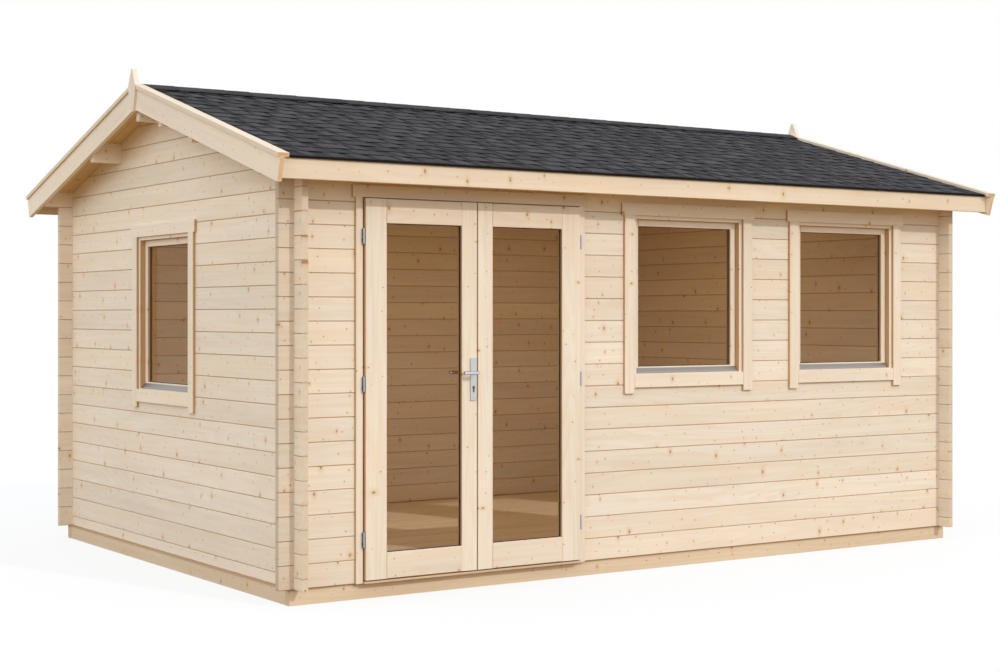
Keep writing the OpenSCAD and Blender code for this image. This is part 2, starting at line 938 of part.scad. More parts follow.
// Handle plate standing in front of y = 0, with the lever's bore and a keyhole
module handle_plate() {
  half = plate_w / 2 - plate_corner;
  top = plate_above - plate_corner;
  foot = plate_above - plate_h + plate_corner;
  rotate([90, 0, 0])
    difference() {
      union() {
        for (x = [-half, half], z = [foot, top])
          translate([x, z, 0])
            cylinder(r = plate_corner, h = plate_t);
        translate([-plate_w / 2, foot, 0])
          cube([plate_w, top - foot, plate_t]);
        translate([-half, plate_above - plate_h, 0])
          cube([2 * half, plate_h, plate_t]);
      }
      translate([0, 0, -past])
        cylinder(r = lever_r + running, h = plate_t + 2 * past);
      translate([0, -key_drop, -past])
        cylinder(r = key_r, h = plate_t + 2 * past);
      translate([-0.6 * key_r, -key_drop - 2.9 * key_r, -past])
        cube([1.2 * key_r, 2.9 * key_r, plate_t + 2 * past]);
    }
}

module door_plates() {
  color(silver) {
    translate([door_x + handle_x, leaf_face, handle_z])
      handle_plate();
    translate([door_x + handle_x, leaf_back, handle_z])
      mirror([0, 1, 0])
        handle_plate();
  }
}

// Lever in front of y = 0: a neck, a rounded elbow and a grip towards the hinges
module lever_half() {
  reach = plate_t + lever_out;
  rotate([90, 0, 0])
    cylinder(r = lever_r, h = reach);
  translate([0, -reach, 0])
    sphere(r = lever_r);
  translate([-lever_l + lever_r, -reach, 0])
    rotate([0, 90, 0])
      cylinder(r = lever_r, h = lever_l - lever_r);
  translate([-lever_l + lever_r, -reach, 0])
    sphere(r = lever_r);
}

// Levers on both faces of the door, on one spindle
module door_lever() {
  color(silver)
    translate([door_x + handle_x, 0, handle_z]) {
      translate([0, leaf_face, 0])
        lever_half();
      translate([0, leaf_back, 0])
        mirror([0, 1, 0])
          lever_half();
      translate([0, leaf_face - past, 0])
        rotate([-90, 0, 0])
          cylinder(r = spindle_r, h = leaf_t + 2 * past);
    }
}

// Puts a window drawn on the front wall, foot of its opening at z = 0, at its three places
module window_places() {
  for (x = [win_1_x, win_2_x])
    translate([x, -hd, win_z]) {
      $win_w = front_win_w;
      children();
    }
  translate([-hw, gable_win_y, gable_win_z])
    rotate(-90) {
      $win_w = gable_win_w;
      children();
    }
}

// Outer edge of the boards beside a window, and the foot of the board over it
function win_board_half(width) = width / 2 + win_casing_lap;
win_board_top = win_h - win_head_drop;

// Boards beside the windows
module window_side_boards() {
  color(spruce)
    window_places() {
      outer = win_board_half($win_w);
      inner = outer - win_casing_w;
      wall_board(-outer, -inner, -win_casing_foot, win_board_top - fit);
      wall_board(inner, outer, -win_casing_foot, win_board_top - fit);
    }
}

// Boards over and under the windows
module window_cross_boards() {
  color(spruce)
    window_places() {
      head = win_board_half($win_w) + win_head_run_on;
      apron = win_board_half($win_w) - win_casing_w - fit;
      wall_board(-head, head, win_board_top, win_board_top + win_head_h);
      wall_board(-apron, apron, win_apron_up - win_apron_h, win_apron_up);
    }
}

// Uprights of the fixed window frames
module window_jambs() {
  color(spruce)
    window_places() {
      half = $win_w / 2 - fit;
      for (x = [-half, half - win_frame_side])
        translate([x, 0, fit])
          cube([win_frame_side, win_frame_d, win_h - 2 * fit]);
    }
}

// Heads and sills between those uprights
module window_heads_and_sills() {
  color(spruce)
    window_places() {
      half = sash_half($win_w) + fit;
      for (bar = [[fit, win_frame_sill - fit], [win_h - win_frame_head, win_frame_head - fit]])
        translate([-half + fit, 0, bar[0]])
          cube([2 * (half - fit), win_frame_d, bar[1]]);
    }
}

// Clear half width inside the fixed frame
function sash_half(width) = width / 2 - win_frame_side - 2 * fit;
sash_low = win_frame_sill + fit;
sash_high = win_h - win_frame_head - fit;

// Uprights of the glazed sashes inside the frames
module sash_stiles() {
  color(spruce)
    window_places()
      for (flip = [0, 1])
        mirror([flip, 0, 0])
          translate([-sash_half($win_w), sash_back, sash_low])
            upright(sash_w, sash_t, sash_high - sash_low);
}

// Top and bottom rails of the sashes
module sash_rails() {
  color(spruce)
    window_places() {
      length = 2 * (sash_half($win_w) - sash_w - fit);
      translate([-length / 2, sash_back, sash_low])
        level_bar(sash_w, sash_t, length);
      translate([-length / 2, sash_back, sash_high])
        mirror([0, 0, 1])
          level_bar(sash_w, sash_t, length);
    }
}

module window_glass() {
  window_places() {
    half = sash_half($win_w) - sash_w;
    glass_pane(-half, half, sash_low + sash_w, sash_high - sash_w, sash_back + sash_t / 2);
  }
}

// Sloping metal strip in front of the foot of a sash
module window_drip_rails() {
  color(silver)
    window_places() {
      half = sash_half($win_w);
      translate([-half, sash_back - fit, win_frame_sill + fit])
        rotate([90, 0, 90])
          linear_extrude(2 * half)
            polygon([[0, 0], [0, drip_h], [-drip_lip, drip_h], [-drip_d, drip_h / 3], [-drip_d, 0]]);
    }
}

long_base_rails();
short_base_rails();
floor_joists();
floor_deck();
front_wall_left_logs();
front_wall_right_logs();
front_wall_over_door_log();
back_wall_logs();
left_gable_logs();
right_gable_logs();
eaves_logs();
ridge_purlin();
side_purlins();
front_upper_purlin();
front_roof_boards();
back_roof_boards();
front_shingles();
back_shingles();
ridge_cap();
front_fascia();
back_fascia();
left_barge_boards();
right_barge_boards();
left_barge_caps();
right_barge_caps();
left_finial();
right_finial();
door_jambs();
door_head();
door_stops();
door_threshold();
door_side_boards();
door_lintel_board();
left_door_stiles();
left_door_rails();
left_door_glass();
right_door_stiles();
right_door_rails();
right_door_glass();
frame_knuckles();
left_door_knuckles();
right_door_knuckles();
door_plates();
door_lever();
window_side_boards();
window_cross_boards();
window_jambs();
window_heads_and_sills();
sash_stiles();
sash_rails();
window_glass();
window_drip_rails();
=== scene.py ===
"""Looks of the garden cabin: spruce, roof cover, glass and fittings, with floor, light and camera.

Lengths are in metres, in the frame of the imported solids: X along the front, the front faces -Y, Z up.
"""

import math

import bmesh
import bpy
import numpy as np
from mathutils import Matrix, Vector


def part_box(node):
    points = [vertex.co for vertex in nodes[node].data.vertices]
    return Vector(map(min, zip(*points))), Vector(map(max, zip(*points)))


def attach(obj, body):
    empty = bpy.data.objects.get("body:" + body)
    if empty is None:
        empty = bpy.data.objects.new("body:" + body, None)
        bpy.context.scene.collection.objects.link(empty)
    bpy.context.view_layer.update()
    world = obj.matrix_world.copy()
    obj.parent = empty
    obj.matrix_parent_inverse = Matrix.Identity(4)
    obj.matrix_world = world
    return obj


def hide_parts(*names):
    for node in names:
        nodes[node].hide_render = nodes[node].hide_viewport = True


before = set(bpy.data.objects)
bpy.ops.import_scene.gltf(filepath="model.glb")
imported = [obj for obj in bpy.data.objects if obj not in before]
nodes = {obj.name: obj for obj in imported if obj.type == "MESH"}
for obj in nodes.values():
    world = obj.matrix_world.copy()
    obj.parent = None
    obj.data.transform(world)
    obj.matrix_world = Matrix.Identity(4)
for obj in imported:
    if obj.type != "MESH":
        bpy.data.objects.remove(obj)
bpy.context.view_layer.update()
draw = np.random.default_rng(20)
X, Y, Z = range(3)

# Log courses, and the walls they stand in
LOG_H = 0.118
FRONT_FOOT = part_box("long_base_rails")[1][Z]
GABLE_FOOT = FRONT_FOOT + LOG_H / 2
LEFT_WALL_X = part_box("left_gable_logs")[0][X]
FRONT_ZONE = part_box("front_wall_left_logs")[1][Y] / 2

# Roof: its slope, the deck of boards and the cover over it
PITCH = math.radians(16.2)
boards_low, boards_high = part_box("front_roof_boards")
ROOF_HALF_LENGTH = boards_high[X]
BOARD_FOOT_Y = -boards_low[Y]
BOARD_TOP_AT_RIDGE = boards_high[Z] - boards_high[Y] * math.tan(PITCH)
ROOF_BOARD_T = 0.028
ROOF_BOARDS, ROOF_BEVEL = 49, 0.0045
FLOOR_BOARDS, FLOOR_BEVEL = 31, 0.0025
BOARD_GAP = 0.0004
RIDGE_GAP, FOOT_GAP = 0.006, 0.009
EAVES_Y = -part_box("front_shingles")[0][Y]
COVER_HALF_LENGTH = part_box("ridge_cap")[1][X]
UNDERLAY_T, UNDERLAY_BACK = 0.016, 0.007
STARTER_W, STARTER_BACK, STARTER_SUNK, STARTER_PROUD = 0.2, 0.009, 0.0060, 0.0036

# Shingles: courses, strips and the teeth on them
COURSES, COURSE_LAP = 15, 0.035
COVER_BACK, COVER_IN = 0.004, 0.001
STRIP_LENGTH, STRIP_T, STRIP_GAP, STRIP_MIN = 1.0, 0.0034, 0.0008, 0.12
TOOTH_WIDTHS, TOOTH_GAPS = [0.075, 0.10, 0.125, 0.16], [0.02, 0.035, 0.06]
TOOTH_T, TOOTH_MIN = 0.0060, 0.03
BUTT_RISE, BUTT_WAVER, TAB_CAMBER = 0.0040, 0.0022, 0.0010
# Black on the shingles' cut faces: bare asphalt, and on the butts also painted shade under each tab
SIDE_CUT, BUTT_CUT_AND_SHADE, EAVES_CUT = 0.3, 0.8, 0.4

# Ridge shingles: half width, roundness of the fold and overlap; lift and thickness fall to the edges
RIDGE_COUNT, RIDGE_HALF, RIDGE_FOLD, RIDGE_LAP = 32, 0.100, 0.018, 0.03
RIDGE_LIFT, RIDGE_LEAN, RIDGE_FALL, RIDGE_UNEVEN = 0.0425, 0.0018, 0.0105, 0.0003
RIDGE_T, RIDGE_THIN = 0.0110, 0.0065

# Glazing seals, and the edge of a pane that its rebate hides
GLASS_HIDDEN = 0.0096
SEAL_W, SEAL_T = 0.0032, 0.0024

# Lock and screws: heights over the handle plates' foot and depth of the cylinder's ends in the plates
KEY_UP, KEY_SUNK = 0.066, 0.0012
KEY_R, KEY_LEG_HALF, KEY_FOOT = 0.0083, 0.0049, 0.0243
SCREW_IN = 0.014
SCREW_R, SCREW_TALL, SCREW_SLOT_HALF, SCREW_SLOT_DEEP = 0.0034, 0.0016, 0.0005, 0.0008

# Colours, as linear light
WHITE = (1, 1, 1, 1)
PALE_WOOD = (0.89, 0.80, 0.69, 1)
LATE_WOOD = (0.76, 0.575, 0.39, 1)
HALO_WOOD = (0.78, 0.50, 0.25, 1)
KNOT_WOOD = (0.40, 0.185, 0.065, 1)
PIN_WOOD = (0.20, 0.10, 0.045, 1)
WARM_WOOD = (0.87, 0.69, 0.495, 1)
END_TINT = (0.80, 0.76, 0.70, 1)
TAN_END = (0.90, 0.68, 0.42, 1)
# Painted shade on the front logs' ends beyond the left gable wall
END_SHADE_TINT = (0.82, 0.80, 0.78, 1)
# Painted shade on the sides and undersides of boards round the openings
SIDE_SHADE_TINT = (0.62, 0.42, 0.22, 1)
# Dark of the log joints: a dark joint, partly painted shade in its groove
JOINT_AND_SHADE_TINT = (0.50, 0.32, 0.15, 1)
FASCIA_TINT = (0.965, 0.93, 0.88, 1)
# Base rails darker all over, painted shade under the wall
LONG_BASE_SHADE_TINT = (0.92, 0.82, 0.68, 1)
SHORT_BASE_SHADE_TINT = (0.87, 0.785, 0.66, 1)
# Barge caps face up: darker as painted shade
CAP_SHADE_TINT = (0.86, 0.82, 0.76, 1)
JOINERY_TINT = (0.985, 0.97, 0.95, 1)
# Threshold darker, painted shade under the door leaves
THRESHOLD_SHADE_TINT = (0.80, 0.68, 0.52, 1)
# Roof boards darker and warmer, painted shade under the eaves
SOFFIT_SHADE_TINT = (0.82, 0.66, 0.42, 1)
FLOOR_TINT = (0.95, 0.90, 0.84, 1)
GRANULE_TINT = (1.0, 0.975, 1.06, 1)
# Black of cut shingle faces: bare asphalt, and painted shade on the butts
BARE_CUT_AND_SHADE = (0.010, 0.010, 0.011, 1)
PANE, PANE_FILM = (0.95, 0.915, 0.855, 1), (0.98, 0.96, 0.925, 1)
PANE_SHEEN, PANE_LIT = (1.0, 0.84, 0.62, 1), (0.93, 0.925, 0.91, 1)
SEAL, SEAL_BLOOM = (0.008, 0.008, 0.009, 1), (0.024, 0.024, 0.025, 1)
BRASS, BRASS_RUBBED = (0.09, 0.083, 0.070, 1), (0.17, 0.155, 0.13, 1)
SATIN_METAL = (0.60, 0.61, 0.62, 1)
LEVER_METAL = (0.64, 0.655, 0.675, 1)
DRIP_METAL = (0.42, 0.40, 0.385, 1)
HINGE_METAL = (0.46, 0.47, 0.49, 1)

# Wood: the cells that may hold a knot, the radii of knots and how much shorter they are along the grain
KNOTS = {"cell": (0.30, 0.13), "radius": (0.0050, 0.0125), "narrow": 1.55}
PIN_KNOTS = {"cell": (0.105, 0.062), "radius": (0.0016, 0.0042), "narrow": 1.1}
KNOT_CHANCE, KNOT_DEPTH = 0.62, 0.78
KNOT_EDGE, BEND_EDGE = (1.25, 0.45), (4.2, 0.5)
BOARD_SHIFT = (37.0, 11.0, 7.0)
GROWTH_LINES = 19.0
COURSE_SEED, BOARD_SEED = 1.37, 97.0
# Reach of the joints' dark: on logs partly painted shade in the grooves, on the base rails a band of painted
# shadow
WOOD_RELIEF, JOINT_SHADE_REACH, BASE_SHADOW_REACH = 0.0006, 0.0036, 0.016
JOINT_CORE = 0.0010

# Brush marks on metal and granules on shingles, as waves to the metre
LEVEL_BRUSH, ROUND_BRUSH, SCREW_BRUSH = (60, 60, 1500), (900, 900, 90), (700, 700, 700)
MOTTLE = (160.0, 160.0, 160.0)
GRIT = (620.0, 620.0, 620.0)
BUMP_STRENGTH = 0.6

# Light, floor and the photo's camera
SURROUND_COLOUR = (0.955, 1.0, 1.055, 1)
KEY_LIGHT = {"energy": 1.13, "angle": math.radians(1.4), "color": (1.0, 0.977, 0.933)}
KEY_FROM = (0.30, -1.0, 0.64)
FILL_LIGHT = {"energy": 0.60, "angle": math.radians(50), "color": (0.87, 1.0, 1.07)}
FILL_FROM = (-1.0, -0.25, 0.35)
ROOM_LIGHT = {"shape": "RECTANGLE", "size": 3.4, "size_y": 1.6, "energy": 11.2, "color": (1.0, 0.77, 0.47)}
ROOM_LIGHT_AT = (0.0, 0.0, 2.24)
FLOOR_HALF, FLOOR_Z = 60.0, -0.0005
FLOOR_SEEN, FLOOR_BOUNCE, FLOOR_GLOW = (0.90, 0.90, 0.90, 1), (0.32, 0.205, 0.075, 1), 0.80
CAMERA_LENS = {"sensor_width": 36.0, "lens": 61.73, "shift_y": -0.02104}
CAMERA_AT = (-6.048, -8.998, 1.411)
CAMERA_TURN = math.radians(-33.73)


class Wiring:
    """Places shader nodes in one tree and joins them. A value is a number, a colour or a socket."""

    def __init__(self, tree):
        self.tree = tree

    def feed(self, socket, value):
        if isinstance(value, bpy.types.NodeSocket):
            self.tree.links.new(value, socket)
        else:
            socket.default_value = value

    def put(self, kind, inputs=None, **settings):
        """A new node of that kind, with its settings and what its inputs are fed."""
        node = self.tree.nodes.new(kind)
        for name, value in settings.items():
            setattr(node, name, value)
        for key, value in (inputs or {}).items():
            self.feed(node.inputs[key], value)
        return node

    def math(self, operation, *values):
        node = self.put("ShaderNodeMath", operation=operation)
        for socket, value in zip(node.inputs, values):
            self.feed(socket, value)
        return node.outputs[0]

    def add(self, a, b):
        return self.math("ADD", a, b)

    def less(self, a, b):
        return self.math("SUBTRACT", a, b)

    def times(self, a, b):
        return self.math("MULTIPLY", a, b)

    def size(self, a):
        return self.math("ABSOLUTE", a)

    def larger(self, a, b):
        return self.math("MAXIMUM", a, b)

    def total(self, start, *terms):
        """start plus every term's value times its weight."""
        for value, weight in terms:
            start = self.add(start, self.times(value, weight))
        return start

    def step(self, value, low, high):
        """Smooth step of value, 0 at low and 1 at high."""
        ends = {"Value": value, "From Min": low, "From Max": high}
        return self.put("ShaderNodeMapRange", ends, interpolation_type="SMOOTHSTEP").outputs["Result"]

    def vector(self, x, y, z):
        return self.put("ShaderNodeCombineXYZ", {"X": x, "Y": y, "Z": z}).outputs[0]

    def arrows(self, operation, a, b):
        return self.put("ShaderNodeVectorMath", {0: a, 1: b}, operation=operation).outputs[0]

    def noise(self, spot, waves, detail=2.0):
        """Noise over three lengths, each with its waves to the metre."""
        scaled = self.vector(*(self.times(length, count) for length, count in zip(spot, waves)))
        inputs = {"Vector": scaled, "Scale": 1.0, "Detail": detail}
        return self.put("ShaderNodeTexNoise", inputs).outputs["Fac"]

    def blend(self, share, first, second, how="MIX"):
        node = self.put("ShaderNodeMix", data_type="RGBA", blend_type=how)
        for index, value in ((0, share), (6, first), (7, second)):
            self.feed(node.inputs[index], value)
        return node.outputs[2]

    def tinted(self, share, colour, tint):
        return self.blend(share, colour, tint, "MULTIPLY")

    def grey(self, value):
        return self.put("ShaderNodeCombineColor", {"Red": value, "Green": value, "Blue": value}).outputs[0]

    def split(self, colour):
        return self.put("ShaderNodeSeparateColor", {0: colour}).outputs

    def mark(self, name):
        """A piece's own attribute of that name, one value to a face."""
        return self.put("ShaderNodeAttribute", attribute_name=name).outputs["Fac"]


def new_group(name, inputs, outputs):
    """An empty shader node group with named sockets, and its wiring, inputs and output node."""
    tree = bpy.data.node_groups.new(name, "ShaderNodeTree")
    for label, kind in inputs:
        tree.interface.new_socket(label, in_out="INPUT", socket_type="NodeSocket" + kind)
    for label, kind in outputs:
        tree.interface.new_socket(label, in_out="OUTPUT", socket_type="NodeSocket" + kind)
    w = Wiring(tree)
    return tree, w, w.put("NodeGroupInput").outputs, w.put("NodeGroupOutput")


def knot_layer(w, along, across, chance, cell, radius, narrow):
    """Knots scattered on a grid of cells: one point in each cell, a knot where its draw is under chance.

    narrow divides the knot's length along the grain. Returns the knot's own mask and the wider mask
    of the wood that bends round it.
    """
    spot = w.vector(w.math("DIVIDE", along, cell[0]), w.math("DIVIDE", across, cell[1]), 0.0)
    cells = w.put("ShaderNodeTexVoronoi", {"Vector": spot, "Scale": 1.0}, voronoi_dimensions="2D").outputs
    offset = w.arrows("SUBTRACT", spot, cells["Position"])
    metres = w.arrows("MULTIPLY", offset, (cell[0] * narrow, cell[1], 0))
    away = w.put("ShaderNodeVectorMath", {0: metres}, operation="LENGTH").outputs["Value"]
    lot = w.split(cells["Color"])
    there = w.math("LESS_THAN", lot["Green"], chance)
    near = w.math("DIVIDE", away, w.total(radius[0], (lot["Red"], radius[1] - radius[0])))
    return w.times(w.step(near, *KNOT_EDGE), there), w.times(w.step(near, *BEND_EDGE), there)


def spruce_group():
    """Planed spruce: growth lines are contours of a noise drawn out along the grain, bent round knots."""
    tree, w, given, out = new_group(
        "planed_spruce",
        [(n, "Float") for n in ("Along", "Across", "Depth", "Seed", "Knots")],
        [("Color", "Color"), ("Roughness", "Float"), ("Height", "Float")])
    lot = w.put("ShaderNodeTexWhiteNoise", {"W": given["Seed"]}, noise_dimensions="1D")
    lots = w.split(lot.outputs["Color"])
    along, across, depth = (
        w.total(given[length], (lots[channel], shift)) for length, channel, shift in zip(
            ("Along", "Across", "Depth"), ("Red", "Green", "Blue"), BOARD_SHIFT))

    def drawn(waves_along, waves_across, detail=2.0):
        return w.noise((along, across, depth), (waves_along, waves_across, waves_across), detail)

    chance = w.times(given["Knots"], KNOT_CHANCE)
    knot, bend = knot_layer(w, along, across, chance, **KNOTS)
    pin, pin_bend = knot_layer(w, along, across, chance, **PIN_KNOTS)
    heart = w.larger(knot, pin)
    ring = w.math("FRACT", w.times(w.total(drawn(0.42, 5.0, 1.0), (bend, 0.02)), GROWTH_LINES))
    late = w.times(w.step(ring, 0.25, 0.92), w.step(ring, 1.0, 0.93))
    streak = w.step(drawn(1.3, 34.0, 3.0), 0.36, 0.72)
    fibre = drawn(11.0, 520.0)
    cloud = drawn(0.9, 4.2)
    blotch = w.step(drawn(2.6, 11.0), 0.50, 0.78)

    colour = w.blend(w.total(0.0, (late, 0.17), (streak, 0.24), (fibre, 0.14)), PALE_WOOD, LATE_WOOD)
    colour = w.blend(w.total(0.0, (lots["Blue"], 0.34), (blotch, 0.42)), colour, WARM_WOOD)
    colour = w.tinted(1.0, colour, w.grey(w.total(0.86, (cloud, 0.20), (lots["Red"], 0.08))))
    colour = w.blend(w.total(0.0, (bend, 0.46), (pin_bend, 0.26)), colour, HALO_WOOD)
    colour = w.blend(w.times(knot, KNOT_DEPTH), colour, KNOT_WOOD)
    colour = w.blend(w.times(pin, KNOT_DEPTH), colour, PIN_WOOD)
    w.feed(out.inputs["Color"], colour)
    w.feed(out.inputs["Roughness"], w.total(0.56, (late, -0.10), (fibre, 0.16), (heart, -0.14)))
    w.feed(out.inputs["Height"], w.total(0.0, (fibre, 0.55), (late, 0.35), (heart, 0.5)))
    return tree


def new_material(name):
    """A material with one Principled shader on its output."""
    material = bpy.data.materials.new(name)
    material.use_nodes = True
    w = Wiring(material.node_tree)
    return material, w, material.node_tree.nodes["Principled BSDF"]


def dress(w, shader, colour, rough, height, relief):
    """Feeds colour, roughness and a bump of that relief in metres into the shader."""
    bump = w.put("ShaderNodeBump", {"Height": height, "Distance": relief, "Strength": BUMP_STRENGTH})
    w.feed(shader.inputs["Base Color"], colour)
    w.feed(shader.inputs["Roughness"], rough)
    w.feed(shader.inputs["Normal"], bump.outputs[0])


def place(w):
    """X, Y and Z on the piece, and its own normal."""
    where = w.put("ShaderNodeTexCoord").outputs
    spot, normal = (w.put("ShaderNodeSeparateXYZ", {0: where[key]}).outputs for key in ("Object", "Normal"))
    return tuple(spot), tuple(normal)


def grain_axes(w, cut, x, y, z):
    """Lengths along the grain, across it and into the wood, for a way that the timber is cut."""
    if cut == "along_x":
        return x, z, y
    if cut == "along_y":
        return y, z, x
    if cut == "flat_x":
        return x, y, z
    if cut == "upright":
        return z, w.add(x, y), w.less(x, y)
    if cut == "level":
        return w.add(x, y), z, 0.0
    down, up = math.cos(PITCH), math.sin(PITCH)
    side = w.size(y)
    along = w.less(w.times(side, down), w.times(z, up))
    across = w.add(w.times(side, up), w.times(z, down))
    return (along, x, across) if cut == "slope_flat" else (along, across, x)


SPRUCE = spruce_group()


def spruce(name, cut, seed, foot=None, joint_shade=JOINT_SHADE_REACH, knots=1.0, tint=WHITE, end=None, end_tint=END_TINT,
           lot=None, painted_side_shade=False, tail=None):
    """Spruce cut that way, with its own seed.

    foot is the Z where courses of logs start, and the joints' reach says how far their dark goes: a
    dark joint with painted shade in its groove, and on the base rails a band of painted shadow under
    the wall. end is the axis that the ends face, and end_tint their tone. lot names an attribute with
    one draw to a board. The side flag paints shade on the faces that don't face out of the wall the
    piece stands in. tail is the X below which the log ends get painted shade.
    """
    material, w, shader = new_material(name)
    (x, y, z), normal = place(w)
    number = seed
    if foot is not None:
        course = w.math("DIVIDE", w.less(z, foot), LOG_H)
        number = w.total(seed, (w.math("FLOOR", course), COURSE_SEED))
    if lot is not None:
        number = w.total(seed, (w.mark(lot), BOARD_SEED))
    along, across, depth = grain_axes(w, cut, x, y, z)
    inputs = {"Along": along, "Across": across, "Depth": depth, "Seed": number, "Knots": knots}
    wood = w.put("ShaderNodeGroup", inputs, node_tree=SPRUCE).outputs
    colour = w.tinted(1.0, wood["Color"], tint)
    if end is not None:
        cross_cut = w.step(w.size(normal[end]), 0.6, 0.9)
        colour = w.tinted(w.times(cross_cut, 0.8), colour, end_tint)
    # Painted shade on the log ends beyond tail
    if tail is not None:
        colour = w.tinted(w.step(x, tail + 0.006, tail - 0.006), colour, END_SHADE_TINT)
    # Painted shade: sides and undersides of boards, the faces that don't face out of their wall or up, are
    # darkened
    if painted_side_shade:
        in_front = w.math("LESS_THAN", y, FRONT_ZONE)
        flat = w.add(w.times(w.size(normal[Y]), in_front), w.times(w.size(normal[X]), w.less(1.0, in_front)))
        edge = w.times(w.step(flat, 0.8, 0.4), w.step(normal[Z], 0.7, 0.3))
        colour = w.tinted(w.times(edge, 0.9), colour, SIDE_SHADE_TINT)
    # Dark joints between logs, partly painted shade in their grooves; on the base rails the band at their
    # top is painted shadow under the wall
    if foot is not None:
        part = w.math("FRACT", course)
        joint = w.times(w.math("MINIMUM", part, w.less(1.0, part)), LOG_H)
        colour = w.tinted(w.times(w.step(joint, joint_shade, JOINT_CORE), 0.62), colour, JOINT_AND_SHADE_TINT)
    dress(w, shader, colour, wood["Roughness"], wood["Height"], WOOD_RELIEF)
    shader.inputs["Specular IOR Level"].default_value = 0.3
    return material


def granule_finish():
    """Mineral-faced shingle: granules, weathered patches, one tone to a tab and black cut edges: bare
    asphalt, and painted shade on the butts.
    """
    material, w, shader = new_material("mineral_shingle")
    spot, _ = place(w)
    grains = w.arrows("MULTIPLY", w.vector(*spot), GRIT)
    grit = w.put("ShaderNodeTexVoronoi", {"Vector": grains, "Scale": 1.0}).outputs
    speck = w.split(grit["Color"])["Red"]
    patch = w.noise(spot, (9.0, 22.0, 22.0), 3.0)
    level = w.total(0.017, (w.mark("tone"), 0.047))
    level = w.times(level, w.total(0.55, (speck, 0.9)))
    level = w.times(level, w.total(0.55, (patch, 0.9)))
    colour = w.tinted(1.0, w.grey(level), GRANULE_TINT)
    # Cut faces go black: bare asphalt, and on the butts also painted shade under the tabs
    colour = w.blend(w.mark("cut"), colour, BARE_CUT_AND_SHADE)
    dress(w, shader, colour, w.total(0.84, (speck, 0.12)), w.less(1.0, grit["Distance"]), 0.0010)
    shader.inputs["Specular IOR Level"].default_value = 0.15
    return material


def show(w, material, share, first, second):
    """Puts a mix of two shaders, with that share of the second, on the material's output."""
    mix = w.put("ShaderNodeMixShader", {0: share, 1: first.outputs[0], 2: second.outputs[0]})
    w.feed(material.node_tree.nodes["Material Output"].inputs["Surface"], mix.outputs[0])


def pane_finish():
    """Clear glass that lets lamplight through to the room."""
    material, w, shader = new_material("clear_pane")
    spot, _ = place(w)
    film = w.noise(spot, (1.4, 1.4, 1.1), 3.0)
    shader.inputs["Transmission Weight"].default_value = 1.0
    shader.inputs["IOR"].default_value = 1.07
    shader.inputs["Specular Tint"].default_value = PANE_SHEEN
    w.feed(shader.inputs["Base Color"], w.blend(film, PANE, PANE_FILM))
    w.feed(shader.inputs["Roughness"], w.times(film, 0.02))
    ray = w.put("ShaderNodeLightPath").outputs
    passing = w.put("ShaderNodeBsdfTransparent", {"Color": PANE_LIT})
    show(w, material, w.larger(ray["Is Shadow Ray"], ray["Is Diffuse Ray"]), shader, passing)
    return material


def metal_finish(name, colour, rough, brush, relief, side_shade_factor=1.0):
    """Metal with brush marks drawn out along one axis and a faint mottle.

    Below a factor of 1 for the sides, its colour is scaled by it on the faces that don't face out of the
    wall or up: painted shade and painted dark reflections.
    """
    material, w, shader = new_material(name)
    spot, normal = place(w)

    def scaled(k):
        return tuple(c * k for c in colour[:3]) + (1,)

    marks = w.noise(spot, brush, 3.0)
    tone = w.blend(w.times(w.noise(spot, MOTTLE), 0.8), colour, scaled(0.82))
    # Painted shade and painted dark reflections on the faces that don't face out of the wall or up
    if side_shade_factor < 1:
        facing_light = w.larger(w.size(normal[Y]), normal[Z])
        tone = w.blend(w.step(facing_light, 0.90, 0.45), tone, scaled(side_shade_factor))
    shader.inputs["Metallic"].default_value = 1.0
    dress(w, shader, tone, w.total(rough, (marks, 0.22)), marks, relief)
    return material


def rubber_finish():
    """Black glazing seal with a faint bloom."""
    material, w, shader = new_material("black_seal")
    bloom = w.noise(place(w)[0], (70.0, 70.0, 70.0), 3.0)
    dress(w, shader, w.blend(bloom, SEAL, SEAL_BLOOM), w.total(0.45, (bloom, 0.3)), bloom, 0.0002)
    return material


def dark_finish():
    """Dark oxidised brass of the lock cylinder."""
    material, w, shader = new_material("dark_brass")
    marks = w.noise(place(w)[0], (900.0, 200.0, 900.0))
    shader.inputs["Metallic"].default_value = 1.0
    dress(w, shader, w.blend(marks, BRASS, BRASS_RUBBED), w.total(0.3, (marks, 0.2)), marks, 0.0001)
    return material


def lay(name, body, points, faces, finish, stands_for=(), marks=None):
    """Puts points and faces into a mesh piece that rides on a body, with per-face marks as attributes."""
    mesh = bpy.data.meshes.new(name)
    mesh.from_pydata(np.asarray(points).reshape(-1, 3).tolist(), [], [list(map(int, f)) for f in faces])
    for mark, values in (marks or {}).items():
        mesh.attributes.new(mark, "FLOAT", "FACE").data.foreach_set(
            "value", np.asarray(values, np.float32))
    mesh.materials.append(finish)
    piece = bpy.data.objects.new(name, mesh)
    bpy.context.scene.collection.objects.link(piece)
    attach(piece, body)
    if stands_for:
        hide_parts(*stands_for)
    return piece


def turn_faces_out(piece):
    """Recalculates a new piece's normals so that its faces point outwards."""
    mesh = bmesh.new()
    mesh.from_mesh(piece.data)
    bmesh.ops.remove_doubles(mesh, verts=mesh.verts, dist=1e-6)
    bmesh.ops.recalc_face_normals(mesh, faces=mesh.faces)
    mesh.to_mesh(piece.data)
    mesh.free()


